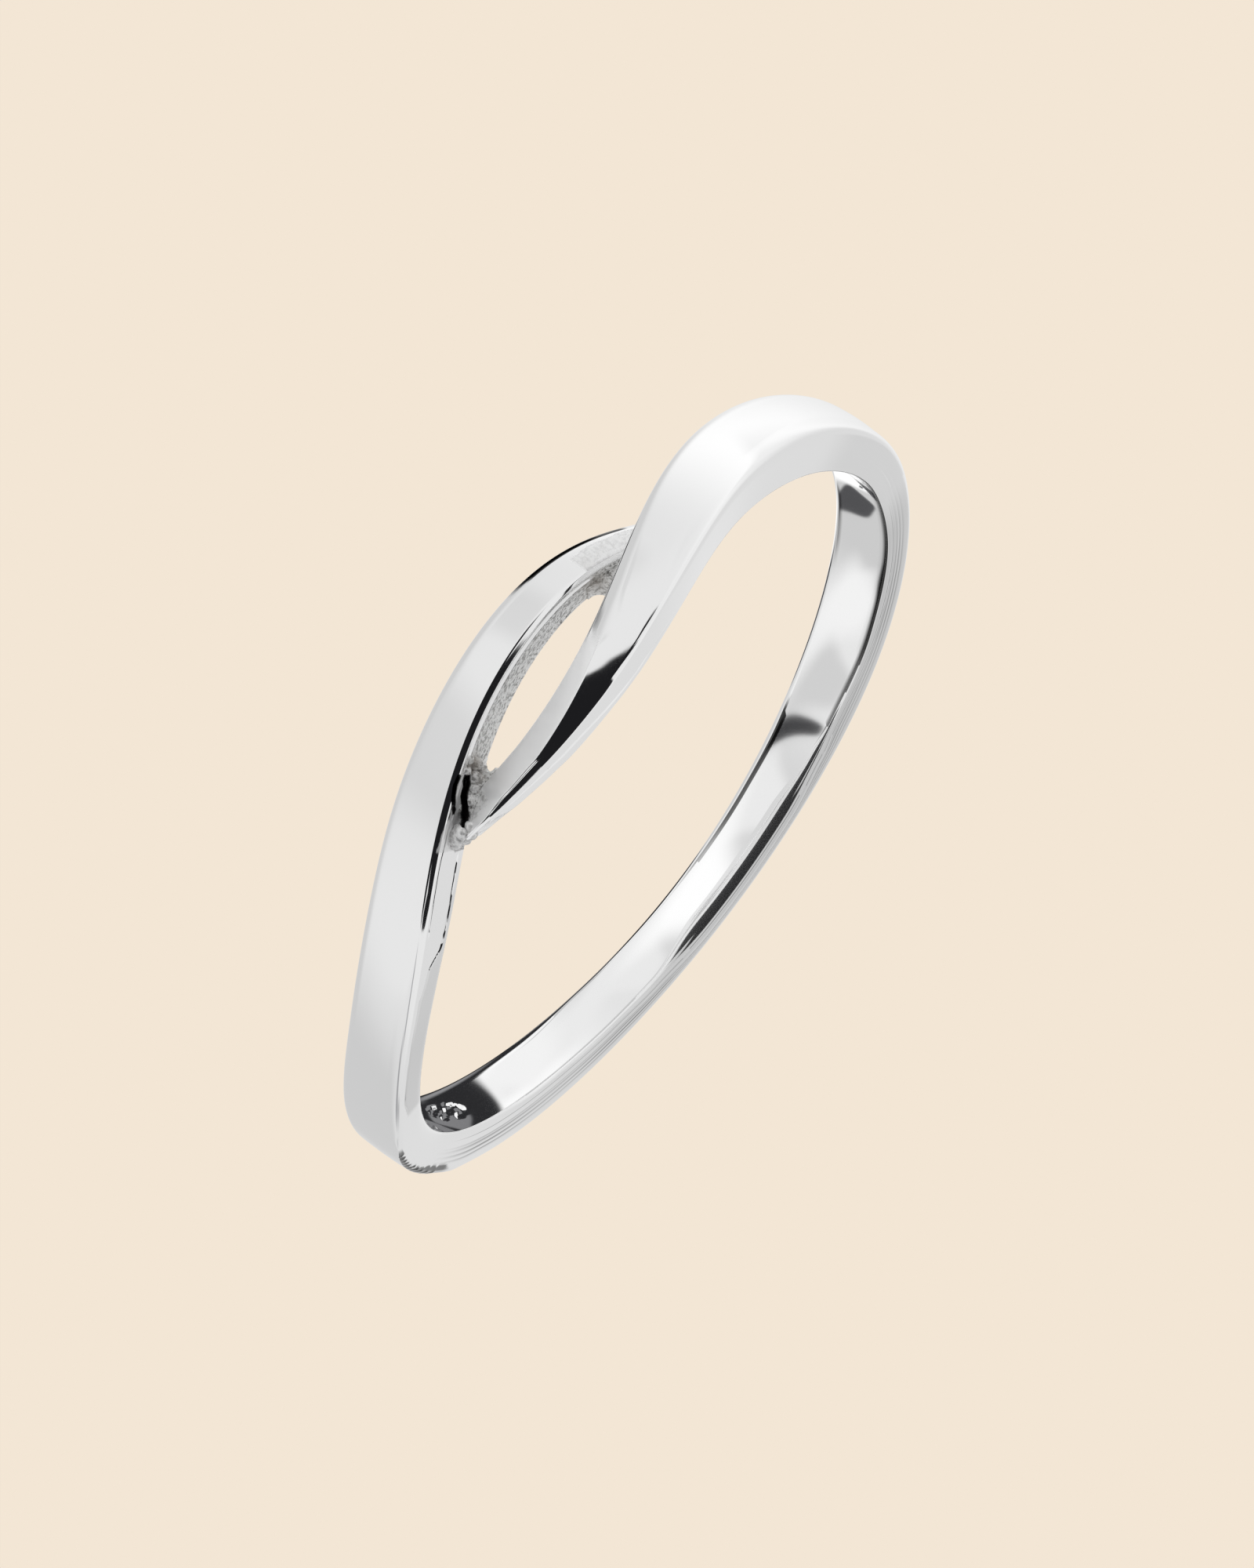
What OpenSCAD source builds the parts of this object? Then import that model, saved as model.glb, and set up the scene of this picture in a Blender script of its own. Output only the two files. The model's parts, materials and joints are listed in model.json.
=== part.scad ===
// A polished silver ring cast as one loop of wire. The wire goes once round the finger,
// and its two ends pass each other at the front, with an almond-shaped eye between them.
// The ring lies on its side, with the eye towards -Y, and its lowest points are at z = 0.

/* [Finger hole] */
// Inside diameter of the ring
inside_d = 17.2; // [15:0.1:20]
// Length of the wall's roundings that the finger hole cuts away
wall_trim = 0.08; // [0.04:0.01:0.12]

/* [Wire] */
// Width of the bevel along the upper outer edge
top_bevel = 0.14; // [0.08:0.01:0.2]
// Height of the bulge in the middle of the outer face
face_bulge = 0.05; // [0.02:0.01:0.1]
// Length that the rounding takes from each side of an edge at the finger
inner_rounding = 0.25; // [0.1:0.01:0.3]
// Length that the rounding takes from each side of an outer edge
outer_rounding = 0.12; // [0.06:0.01:0.15]

/* [Eye] */
// Turn from the front to the middle of the eye's left corner
eye_left_turn = -14; // [-16:0.5:-12]
// Height of the middle of the left corner
eye_left_z = -0.18; // [-0.25:0.01:-0.1]
// Radius of the left corner
eye_left_r = 0.3; // [0.2:0.01:0.3]
// Turn from the front to the middle of the eye's right corner
eye_right_turn = 13.3; // [12:0.1:14]
// Height of the middle of the right corner
eye_right_z = 0.04; // [0:0.01:0.1]
// Radius of the right corner
eye_right_r = 0.21; // [0.15:0.01:0.22]
// Thickness of the metal that fills the wedges behind the two corners
web_thick = 0.55; // [0.4:0.05:0.9]
// Angle that this metal reaches behind each corner
web_turn = 12; // [10:0.5:13]

/* [Rest] */
// Angle by which the low front tips the ring up when it lies on its side
rest_pitch = 3.3; // [0:0.1:5]
// Angle by which it tips to one side
rest_roll = -0.2; // [-1:0.1:1]

/* [Hidden] */

bore_r = inside_d / 2;
inner_r = bore_r - wall_trim;

// One row for each section of the wire, from the tail under the left shoulder, round the
// back, to the tail on the right. Sizes are in millimetres. The columns are:
// turn, degrees from the front, counted from the front towards +X
// height of the section's middle above the plane through the middle of the ring
// width along the axis of the finger
// thickness away from the finger
// lean, degrees by which the outer face looks up
// bevel along the lower outer edge
TURN = 0;
HEIGHT = 1;
WIDTH = 2;
THICKNESS = 3;
LEAN = 4;
BEVEL = 5;
WIRE = [
    [-50,  0.20, 0.60, 0.50,  0, 0.15],
    [-35,  0.70, 0.65, 0.60,  0, 0.15],
    [-20, -0.90, 0.85, 0.90,  0, 0.15],
    [ -5, -1.15, 1.00, 1.35,  0, 0.15],
    [ 10, -0.90, 1.10, 1.55,  0, 0.15],
    [ 25, -0.35, 1.40, 1.45,  0, 0.15],
    [ 40,  0.25, 1.60, 1.15,  0, 0.15],
    [ 60,  0.50, 1.55, 0.85,  0, 0.15],
    [ 80,  0.35, 1.65, 0.90,  0, 0.15],
    [105,  0.05, 1.55, 1.15,  0, 0.15],
    [140, -0.10, 1.25, 1.50,  0, 0.15],
    [180,  0.20, 1.00, 1.30,  0, 0.15],
    [220,  0.10, 1.45, 1.35,  0, 0.15],
    [255, -0.15, 1.35, 1.10,  0, 0.15],
    [280, -0.05, 1.35, 1.00,  0, 0.15],
    [300, -0.30, 1.60, 1.25,  0, 0.15],
    [320, -0.30, 1.70, 1.60,  0, 0.15],
    [335,  0.30, 1.60, 1.70,  2, 0.15],
    [350,  1.00, 1.15, 1.50, 12, 0.35],
    [365,  1.06, 0.92, 1.25, 17, 0.67],
    [380,  0.52, 0.77, 1.05, 18, 0.80],
    [395, -0.40, 0.60, 0.70, 18, 0.50],
    [410, -0.30, 0.50, 0.50, 18, 0.30]
];
rings_per_row = 8;
back_ring = 10 * rings_per_row;
last_ring = (len(WIRE) - 3) * rings_per_row;
corner_steps = 3;
least_face = 0.04;

// Row of sizes at a place along the wire, as a cubic B-spline of the table's rows
function spline_row(place) =
    let (
        i = min(floor(place), len(WIRE) - 4),
        f = place - i
    )
    (pow(1 - f, 3) * WIRE[i]
        + (3 * pow(f, 3) - 6 * pow(f, 2) + 4) * WIRE[i + 1]
        + (-3 * pow(f, 3) + 3 * pow(f, 2) + 3 * f + 1) * WIRE[i + 2]
        + pow(f, 3) * WIRE[i + 3]) / 6;

// Sharp corners of a section, as [distance from the axis, height, rounding]
function section_corners(row) =
    let (
        low = row[HEIGHT] - row[WIDTH] / 2,
        high = row[HEIGHT] + row[WIDTH] / 2,
        r = bore_r + row[THICKNESS],
        bevel = min(row[BEVEL], row[WIDTH] - top_bevel - least_face),
        setback = tan(row[LEAN]) * (row[WIDTH] - bevel)
    )
    [
        [inner_r, low, inner_rounding],
        [r - 0.75 * bevel, low, outer_rounding],
        [r, low + bevel, outer_rounding],
        [r - setback / 2 + face_bulge, (low + bevel + high - top_bevel) / 2, 0],
        [r - setback, high - top_bevel, outer_rounding],
        [r - setback - top_bevel, high, outer_rounding],
        [inner_r, high, inner_rounding]
    ];

// Point on the side from a corner to its neighbour where the rounding starts
function rounding_start(corner, neighbour) =
    let (
        from = [corner[0], corner[1]],
        side = [neighbour[0], neighbour[1]] - from
    )
    from + side / norm(side) * min(corner[2], 0.45 * norm(side));

// Outline of a section, with each corner rounded along a parabola
function section_outline(row) =
    let (
        corners = section_corners(row),
        n = len(corners)
    )
    [
        for (i = [0 : n - 1])
            let (
                corner = corners[i],
                start = rounding_start(corner, corners[(i + n - 1) % n]),
                end = rounding_start(corner, corners[(i + 1) % n]),
                steps = corner[2] == 0 ? 0 : corner_steps - 1
            )
            for (s = [0 : steps])
                let (f = steps == 0 ? 0 : s / steps)
                steps == 0
                    ? [corner[0], corner[1]]
                    : pow(1 - f, 2) * start + 2 * f * (1 - f) * [corner[0], corner[1]] + pow(f, 2) * end
    ];

// Points of one ring of the wire in space
function ring_points(index) =
    let (
        row = spline_row(index / rings_per_row),
        turn = row[TURN]
    )
    [for (p = section_outline(row)) [p[0] * sin(turn), -p[0] * cos(turn), p[1]]];

// Part of the wire between two rings, with flat ends
module wire(first, last) {
    rings = [for (i = [first : last]) ring_points(i)];
    n = len(rings[0]);
    count = len(rings);
    points = [for (ring = rings) each ring];
    sides = [
        for (i = [0 : count - 2])
            for (j = [0 : n - 1])
                let (
                    a = i * n + j,
                    b = i * n + (j + 1) % n
                )
                each [[a, b, b + n], [a, b + n, a + n]]
    ];
    start = [for (j = [n - 1 : -1 : 0]) j];
    end = [for (j = [0 : n - 1]) (count - 1) * n + j];
    polyhedron(points = points, faces = concat(sides, [start, end]), convexity = 8);
}

// Metal that fills the wedge between the two strands behind a corner of the eye
module web(from_turn, to_turn, low, high) {
    rotate([0, 0, from_turn - 90])
        rotate_extrude(angle = to_turn - from_turn)
            translate([inner_r, low])
                square([web_thick + wall_trim, high - low]);
}

// Hole through the wall, away from the finger, that rounds a corner of the eye
module eye_corner(turn, height, radius) {
    rotate([0, 0, turn - 90])
        translate([inner_r - 1, 0, height])
            rotate([0, 90, 0])
                cylinder(r = radius, h = 4, $fn = 32);
}

// Place of a point once the ring has tipped over to rest
function tipped(p) =
    let (
        y = p[1] * cos(rest_pitch) + p[2] * sin(rest_pitch),
        z = p[2] * cos(rest_pitch) - p[1] * sin(rest_pitch)
    )
    [p[0] * cos(rest_roll) + z * sin(rest_roll), y, z * cos(rest_roll) - p[0] * sin(rest_roll)];

tipped_wire = [for (i = [0 : last_ring]) for (p = ring_points(i)) tipped(p)];
box_low = [for (axis = [0 : 2]) min([for (p = tipped_wire) p[axis]])];
box_high = [for (axis = [0 : 2]) max([for (p = tipped_wire) p[axis]])];
// Move that puts the middle of the ring's underside at the origin
to_origin = [-(box_low[0] + box_high[0]) / 2, -(box_low[1] + box_high[1]) / 2, -box_low[2]];

module band() {
    color("gainsboro")
        translate(to_origin)
            rotate([-rest_pitch, rest_roll, 0])
                difference() {
                    union() {
                        wire(0, back_ring);
                        wire(back_ring, last_ring);
                        web(eye_left_turn - web_turn, eye_left_turn, -0.6, 0.2);
                        web(eye_right_turn, eye_right_turn + web_turn, -0.25, 0.35);
                    }
                    cylinder(r = bore_r, h = 6, center = true, $fn = 180);
                    eye_corner(eye_left_turn, eye_left_z, eye_left_r);
                    eye_corner(eye_right_turn, eye_right_z, eye_right_r);
                }
}

band();
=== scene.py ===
# The looks of a polished silver loop ring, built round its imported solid.
# Shapes are worked out in millimetres in the ring's own frame: the origin in the middle of
# the finger hole, +Z along the finger, and -Y towards the eye. The last step turns them into
# the row's frame, in metres, where the ring lies on its side.
import json
import math

import bmesh
import bpy
import numpy as np
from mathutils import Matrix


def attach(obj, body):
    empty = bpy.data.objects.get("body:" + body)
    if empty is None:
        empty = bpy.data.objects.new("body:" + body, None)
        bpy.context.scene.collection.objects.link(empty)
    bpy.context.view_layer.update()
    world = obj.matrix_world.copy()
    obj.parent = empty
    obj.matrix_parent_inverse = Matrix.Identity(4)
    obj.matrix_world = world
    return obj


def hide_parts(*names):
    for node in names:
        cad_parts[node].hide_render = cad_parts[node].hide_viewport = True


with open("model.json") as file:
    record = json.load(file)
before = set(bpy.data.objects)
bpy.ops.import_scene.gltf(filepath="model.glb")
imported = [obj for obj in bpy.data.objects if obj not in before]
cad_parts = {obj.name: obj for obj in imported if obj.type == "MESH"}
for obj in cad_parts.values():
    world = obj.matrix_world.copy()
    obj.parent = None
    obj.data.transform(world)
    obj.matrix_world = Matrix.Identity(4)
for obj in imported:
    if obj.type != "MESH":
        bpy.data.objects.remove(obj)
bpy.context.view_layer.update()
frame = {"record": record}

MM = 0.001
BORE = next(m for m in frame["record"]["mounts"] if m["name"] == "finger_bore")
BORE_R = BORE["dims"]["r_mm"]
RING_CENTRE = np.array(BORE["pos_m"])

# Angles in degrees by which the ring tips on its lowest points
REST_PITCH = 3.3
REST_ROLL = -0.2

# Sizes in millimetres
# Distance from a rounding to the first point on the flat beside it
SUPPORT = 0.012
# Most of a side that one rounding may take, as a share of its length
SIDE_SHARE = 0.45
# Rounding of the corner between the underside and the lower bevel
OUTER_ROUNDING = 0.07
# Length that the rounding at the lower inner edge takes from the underside
LOW_SIDE = 0.12
# How far the lower bevel reaches in along the underside, as a share of its height
BEVEL_REACH = 0.75
# Least height that the two bevels leave of the outer face
LEAST_FACE = 0.04
# Sides of a section that are more than straight, counted from the underside outwards
FACE_SIDE, TOP_SIDE, WALL_SIDE = 2, 4, 5
# The round corners of the eye, and the metal in the wedges behind them: its thickness, how
# many degrees it reaches behind a corner, and its heights from and to
EYE_LEFT = {"turn": -14, "height": -0.18, "radius": 0.3}
EYE_RIGHT = {"turn": 13.3, "height": 0.04, "radius": 0.21}
WEB_THICK = 0.55
WEB_TURN = 12
LEFT_WEB_HEIGHTS = (-0.6, 0.2)
RIGHT_WEB_HEIGHTS = (-0.25, 0.35)
# Steps between the inner walls of the parts, so that no two of them lie in one surface
INNER_STEP = 0.012

# One row for each section of the wire, from the tail under the left shoulder, round the
# back, to the tail on the right. Sizes are in millimetres, angles in degrees.
TURN, HEIGHT, WIDTH, THICKNESS, LEAN, BEVEL = range(6)
WIRE = np.array([
    # turn, height, width, thickness, lean, bevel
    [-50, 0.20, 0.60, 0.50, 0, 0.15],
    [-35, 0.70, 0.65, 0.60, 0, 0.15],
    [-20, -0.90, 0.85, 0.90, 0, 0.15],
    [-5, -1.15, 1.00, 1.35, 0, 0.15],
    [10, -0.90, 1.10, 1.55, 0, 0.15],
    [25, -0.35, 1.40, 1.45, 0, 0.15],
    [40, 0.25, 1.60, 1.15, 0, 0.15],
    [60, 0.50, 1.55, 0.85, 0, 0.15],
    [80, 0.35, 1.65, 0.90, 0, 0.15],
    [105, 0.05, 1.55, 1.15, 0, 0.15],
    [140, -0.10, 1.25, 1.50, 0, 0.15],
    [180, 0.20, 1.00, 1.30, 0, 0.15],
    [220, 0.10, 1.45, 1.35, 0, 0.15],
    [255, -0.15, 1.35, 1.10, 0, 0.15],
    [280, -0.05, 1.35, 1.00, 0, 0.15],
    [300, -0.30, 1.60, 1.25, 0, 0.15],
    [320, -0.30, 1.70, 1.60, 0, 0.15],
    [335, 0.30, 1.60, 1.70, 2, 0.15],
    [350, 1.00, 1.15, 1.50, 12, 0.35],
    [365, 1.06, 0.92, 1.25, 17, 0.67],
    [380, 0.52, 0.77, 1.05, 18, 0.80],
    [395, -0.40, 0.60, 0.70, 18, 0.50],
    [410, -0.30, 0.50, 0.50, 18, 0.30],
])
# How the wire is finished along its length: how far the bevel of the upper outer edge drops
# and how far it reaches in, the roundings of its two corners, the rounding of the upper inner
# edge along the wall and along the top, the degrees by which the outer face's normal swings,
# how far the inner edge is crowned, and the rounding at the lower inner edge.
DROP, REACH, AT_FACE, AT_TOP, ALONG_WALL, ALONG_TOP, SWING, CROWN, AT_LOW = range(1, 10)
FINISH = np.array([
    # turn, drop, reach, face, top, along wall, along top, swing, crown, low
    [-35, 0.12, 0.12, 0.05, 0.05, 0.10, 0.12, 3, 0, 0.12],
    [34, 0.12, 0.12, 0.05, 0.05, 0.10, 0.12, 3, 0, 0.12],
    [46, 0.14, 0.14, 0.22, 0.05, 0.12, 0.20, 5, 0, 0.12],
    [80, 0.12, 0.14, 0.18, 0.05, 0.12, 0.25, 5, 0, 0.12],
    [85, 0.04, 0.12, 0.04, 0.03, 0.10, 0.35, 3, 0, 0.13],
    [89, 0.09, 0.15, 0.04, 0.03, 0.10, 0.35, 3, 0, 0.14],
    [96, 0.15, 0.17, 0.04, 0.03, 0.10, 0.35, 3, 0, 0.18],
    [110, 0.15, 0.18, 0.04, 0.03, 0.10, 0.35, 3, 0.02, 0.25],
    [116, 0.08, 0.16, 0.06, 0.05, 0.10, 0.35, 3, 0.03, 0.25],
    [123, 0.14, 0.16, 0.16, 0.12, 0.10, 0.35, 4, 0.04, 0.25],
    [140, 0.14, 0.14, 0.14, 0.12, 0.11, 0.30, 4, 0.06, 0.22],
    [155, 0.14, 0.14, 0.12, 0.12, 0.12, 0.30, 4, 0.08, 0.08],
    [164, 0.14, 0.14, 0.12, 0.12, 0.16, 0.30, 4, 0.12, 0.08],
    [176, 0.14, 0.14, 0.12, 0.12, 0.50, 0.45, 4, 0.19, 0.10],
    [196, 0.14, 0.14, 0.12, 0.12, 0.50, 0.45, 4, 0.18, 0.14],
    [206, 0.14, 0.14, 0.12, 0.12, 0.26, 0.30, 4, 0.10, 0.16],
    [212, 0.14, 0.14, 0.12, 0.12, 0.14, 0.20, 4, 0.06, 0.14],
    [230, 0.14, 0.14, 0.14, 0.12, 0.10, 0.20, 4, 0.12, 0.12],
    [250, 0.14, 0.14, 0.18, 0.14, 0.10, 0.20, 5, 0.18, 0.14],
    [270, 0.14, 0.14, 0.25, 0.20, 0.10, 0.20, 6, 0.08, 0.12],
    [300, 0.14, 0.14, 0.35, 0.30, 0.12, 0.14, 7, 0, 0.12],
    [335, 0.12, 0.14, 0.25, 0.20, 0.12, 0.12, 6, 0, 0.12],
    [345, 0.05, 0.12, 0.10, 0.08, 0.12, 0.12, 3, 0, 0.12],
    [350, 0.05, 0.12, 0.04, 0.04, 0.12, 0.12, 2.8, 0, 0.12],
    [354, 0.07, 0.12, 0.03, 0.03, 0.12, 0.15, 2.8, 0, 0.12],
    [358, 0.12, 0.13, 0.03, 0.03, 0.12, 0.20, 2.5, 0, 0.12],
    [366, 0.14, 0.12, 0.03, 0.03, 0.10, 0.15, 1, 0, 0.12],
    [370, 0.15, 0.09, 0.03, 0.03, 0.10, 0.15, 1, -0.02, 0.12],
    [375, 0.12, 0.05, 0.03, 0.03, 0.10, 0.15, 1, -0.04, 0.12],
    [380, 0.03, 0.03, 0.02, 0.02, 0.10, 0.15, 1, -0.08, 0.12],
    [395, 0.03, 0.03, 0.03, 0.03, 0.08, 0.10, 1, -0.10, 0.12],
])
# Rounding at the foot of the outer face
FOOT = np.array([[335, 0.12], [345, 0.16], [350, 0.30], [354, 0.03]])
# The groove behind the polished rim on top of the strand below the eye, with the cast floor
# beyond it, and the crease that crosses the top to the right and the tail above the eye: the
# distance in from the top's outer edge, the width, the depth, and the floor's depth.
GROOVE = np.array([
    # turn, distance, width, depth, floor depth
    [-27, 0.10, 0.06, 0, 0], [-14, 0.12, 0.06, 0.01, 0.01],
    [-6, 0.17, 0.09, 0.05, 0.02], [20, 0.19, 0.10, 0.05, 0.02],
    [24, 0.10, 0.06, 0.03, 0], [28, 0.06, 0.03, 0.03, 0],
    [36, 0.06, 0.03, 0.03, 0], [38, 0.06, 0.03, 0, 0],
])
CREASE = np.array([
    # turn, distance, width, depth
    [26, 0.85, 0.06, 0], [28, 0.85, 0.06, 0.03],
    [34, 0.82, 0.06, 0.03], [37, 0.78, 0.06, 0.03],
    [40, 0.68, 0.08, 0.04], [44, 0.28, 0.08, 0.04],
    [50, 0.13, 0.06, 0.03], [58, 0.08, 0.05, 0.03],
    [70, 0.06, 0.05, 0.025], [76, 0.20, 0.05, 0],
    [340, 0.95, 0.10, 0], [350, 0.85, 0.10, 0.02],
    [366, 0.42, 0.12, 0.04], [375, 0.28, 0.12, 0.04],
    [380, 0.20, 0.10, 0],
])
GROOVE_STEPS = np.array([-0.3, 0, 0.3, 0.5, 1.0])
GROOVE_SHAPE = np.array([0, 0, 1, 1, 0])
# Fine lines that the polishing wheel left along the top at the back: depths at even shares of
# the way across, and the turns that they run from and to, with the length of a fade
LINE_DEPTHS = np.array([0, 0, 0, 0.012, 0, 0, 0.015, 0, 0, 0.012, 0, 0.006, 0])
LINE_SHARES = np.arange(1, len(LINE_DEPTHS) + 1) / (len(LINE_DEPTHS) + 1)
LINES_FROM = 96
LINES_TO = 292
LINES_FADE = 12
# Turns of the notches that a file left in the upper bevel at the right, with their half width
# in degrees and depth
NOTCHES = (88.4, 90.2, 91.9, 93.6, 95.4, 97.2, 99.2, 101.5, 104.2, 107.0)
NOTCH_HALF_TURN = 0.45
NOTCH_DEPTH = 0.05
# The worn stamp on the inner wall at the back, which can't be read: the middle of its oval by
# turn and share of the wall's height, half its sizes, and the depth of its dents
STAMP = {"turn": 113.3, "share": 0.46, "half_turn": 6.2, "half_share": 0.26, "depth": 0.05}
WALL_POINTS = 16
# Turns where the wire begins and ends, short of the table's last ones, which are inside the
# strand below, and the turn each side where the front parts end
WIRE_START = -35
WIRE_END = 383
FRONT_END = 60
# Turns from the front between which the inner wall's step fades out
STEP_FADE = (40, 55)
# Degrees between the sections, at the front and at the back
FRONT_STEP = 0.4
BACK_STEP = 0.6
# Turns between which the sections at the back are this many times as close, round the notches
CLOSE_TURNS = (87.6, 108)
CLOSENESS = 3


def spline_rows(places):
    """Rows of sizes at places along the wire: the uniform cubic B-spline of WIRE's rows,
    where place i + f blends rows i to i + 3."""
    i = np.clip(np.floor(places).astype(int), 0, len(WIRE) - 4)
    f = (places - i)[:, None]
    return (
        (1 - f) ** 3 * WIRE[i]
        + (3 * f**3 - 6 * f**2 + 4) * WIRE[i + 1]
        + (-3 * f**3 + 3 * f**2 + 3 * f + 1) * WIRE[i + 2]
        + f**3 * WIRE[i + 3]
    ) / 6


PLACES = np.linspace(0, len(WIRE) - 3, 2000)
PLACE_TURNS = spline_rows(PLACES)[:, TURN]


def rows_at(turns):
    """Rows of sizes at turns in degrees, by looking up where the spline has that turn."""
    return spline_rows(np.interp(turns, PLACE_TURNS, PLACES))


def underside(rows):
    """Height of the underside of each section: its middle less half its width."""
    return rows[:, HEIGHT] - rows[:, WIDTH] / 2


def topside(rows):
    """Height of the top of each section: its middle and half its width."""
    return rows[:, HEIGHT] + rows[:, WIDTH] / 2


def smooth_step(low, high, x):
    """0 below low, 1 above high, and 3t^2 - 2t^3 between them."""
    t = np.clip((x - low) / (high - low), 0, 1)
    return t * t * (3 - 2 * t)


def within(x, low, high):
    """Where x lies between low and high."""
    return (x > low) & (x < high)


def eased(turns, table, column):
    """A column of a table by turn, eased between rows by 3t^2 - 2t^3."""
    i = np.clip(np.searchsorted(table[:, 0], turns, side="right") - 1, 0, len(table) - 2)
    t = np.clip((turns - table[i, 0]) / (table[i + 1, 0] - table[i, 0]), 0, 1)
    return table[i, column] + (table[i + 1, column] - table[i, column]) * t * t * (3 - 2 * t)


def rounded(before, corner, after, reaches, steps):
    """The rounding of a corner: a parabola that starts a reach from the corner on each side
    (or SIDE_SHARE of a short side), q(f) = (1-f)^2 start + 2f(1-f) corner + f^2 end."""
    ends = []
    for neighbour, reach in ((before, reaches[0]), (after, reaches[1])):
        side = neighbour - corner
        length = np.linalg.norm(side, axis=-1, keepdims=True)
        reach = np.broadcast_to(np.asarray(reach, float)[..., None], length.shape)
        ends.append(corner + side / length * np.minimum(reach, SIDE_SHARE * length))
    f = np.linspace(0, 1, steps + 1)[None, :, None]
    start, end, middle = ends[0][:, None], ends[1][:, None], corner[:, None]
    return (1 - f) ** 2 * start + 2 * f * (1 - f) * middle + f**2 * end


def bevels(rows, drop):
    """The lower bevel of each section, cut short where it would meet the upper one."""
    return np.minimum(rows[:, BEVEL], rows[:, WIDTH] - drop - LEAST_FACE)


def section_outlines(rows, turns, inner_r):
    """Outlines of the wire's sections as (distance from the axis, height), one for each row.
    Six rounded corners are joined by straight sides. The outer face bulges by a parabola,
    4f(1-f) times a bulge that makes its normal swing. The top has a groove, a crease and fine
    lines, and the wall has a worn stamp."""
    drop, reach, at_face, at_top, along_wall, along_top, swing, crown, at_low = (
        eased(turns, FINISH, column) for column in range(1, 10)
    )
    at_foot = eased(turns, FOOT, 1)
    for notch in NOTCHES:
        away = (turns - notch) / NOTCH_HALF_TURN
        reach = reach - NOTCH_DEPTH * np.exp(-away * away)
    low, high = underside(rows), topside(rows)
    r = BORE_R + rows[:, THICKNESS]
    bevel = bevels(rows, drop)
    setback = np.tan(np.radians(rows[:, LEAN])) * (rows[:, WIDTH] - bevel)
    corners = [
        # distance, height, reaches of the rounding, its steps, points on the side after it
        (inner_r, low, (at_low, LOW_SIDE), 8, 2),
        (r - BEVEL_REACH * bevel, low, (OUTER_ROUNDING, OUTER_ROUNDING), 5, 2),
        (r, low + bevel, (at_foot, at_foot), 5, 8),
        (r - setback, high - drop, (at_face, at_face), 7, 6),
        (r - setback - reach, high, (at_top, at_top), 6, 0),
        (inner_r, high + crown, (along_top, along_wall), 9, WALL_POINTS),
    ]
    points = [np.stack(np.broadcast_arrays(c[0], c[1]), -1) for c in corners]
    count = len(corners)
    roundings = [
        rounded(points[i - 1], points[i], points[(i + 1) % count], corners[i][2], corners[i][3])
        for i in range(count)
    ]
    outline = []
    for i in range(count):
        start, end = roundings[i][:, -1:], roundings[(i + 1) % count][:, :1]
        length = np.linalg.norm(end - start, axis=-1, keepdims=True)
        near = np.minimum(SUPPORT / length, 0.3)
        f = near + (1 - 2 * near) * np.linspace(0, 1, corners[i][4])[None, :, None]
        side = start + (end - start) * f
        if i == FACE_SIDE:
            bulge = length * np.tan(np.radians(swing))[:, None, None] / 4
            side = side + bulge * 4 * f * (1 - f) * np.array([1, 0])
        if i == TOP_SIDE:
            side = top_side(start, end, turns)
        if i == WALL_SIDE:
            side = side + stamp_depth(turns, 1 - f) * np.array([1, 0])
        outline += [roundings[i], side]
    return np.concatenate(outline, 1)


def groove_depth(away, turns, table):
    """Depth of a groove at distances in from the top's outer edge: GROOVE_SHAPE over
    GROOVE_STEPS, times the groove's width and depth at each turn."""
    distance, width, depth = (eased(turns, table, column)[:, None] for column in (1, 2, 3))
    return depth * np.interp((away - distance) / width, GROOVE_STEPS, GROOVE_SHAPE)


def top_side(start, end, turns):
    """Points across the top, from its outer to its inner edge: those of the groove, the crease
    and the fine lines in order of their distance, each lowered by all three."""
    length = np.linalg.norm(end - start, axis=-1)
    marks = [length * LINE_SHARES]
    for table in (GROOVE, CREASE):
        distance, width = (eased(turns, table, column)[:, None] for column in (1, 2))
        marks.append(np.minimum(distance + width * GROOVE_STEPS, 0.97 * length))
    away = np.sort(np.clip(np.concatenate(marks, 1), 0.01, None), 1)
    # Points that would coincide are spread a little
    away = away + 0.0004 * np.arange(away.shape[1])
    share = away / length
    in_lines = smooth_step(LINES_FROM, LINES_FROM + LINES_FADE, turns)
    in_lines = in_lines - smooth_step(LINES_TO - LINES_FADE, LINES_TO, turns)
    distance, floor_depth = (eased(turns, GROOVE, column)[:, None] for column in (1, 4))
    depths = (
        groove_depth(away, turns, GROOVE)
        + groove_depth(away, turns, CREASE)
        + floor_depth * smooth_step(distance + 0.02, distance + 0.05, away)
        + in_lines[:, None] * np.interp(share, LINE_SHARES, LINE_DEPTHS)
    )
    return start + (end - start) * share[..., None] - depths[..., None] * np.array([0, 1])


def stamp_depth(turns, share):
    """Depth of the worn stamp at each turn and share of the wall's height: an oval in which
    the dents come and go as 0.5 + 0.5 cos(7u + 2v) cos(4v - u), with u and v from -1 to 1."""
    u = ((turns - STAMP["turn"]) / STAMP["half_turn"])[:, None, None]
    v = (share - STAMP["share"]) / STAMP["half_share"]
    inside = smooth_step(0, 0.4, 1 - u * u - v * v)
    return STAMP["depth"] * inside * (0.5 + 0.5 * np.cos(7 * u + 2 * v) * np.cos(4 * v - u))


def in_ring(outlines, turns):
    """Outlines (distance, height) carried round the finger: x = d sin(turn), y = -d cos(turn)."""
    angle = np.radians(turns)[:, None]
    return np.stack(
        [outlines[..., 0] * np.sin(angle), -outlines[..., 0] * np.cos(angle), outlines[..., 1]], -1
    )


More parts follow.
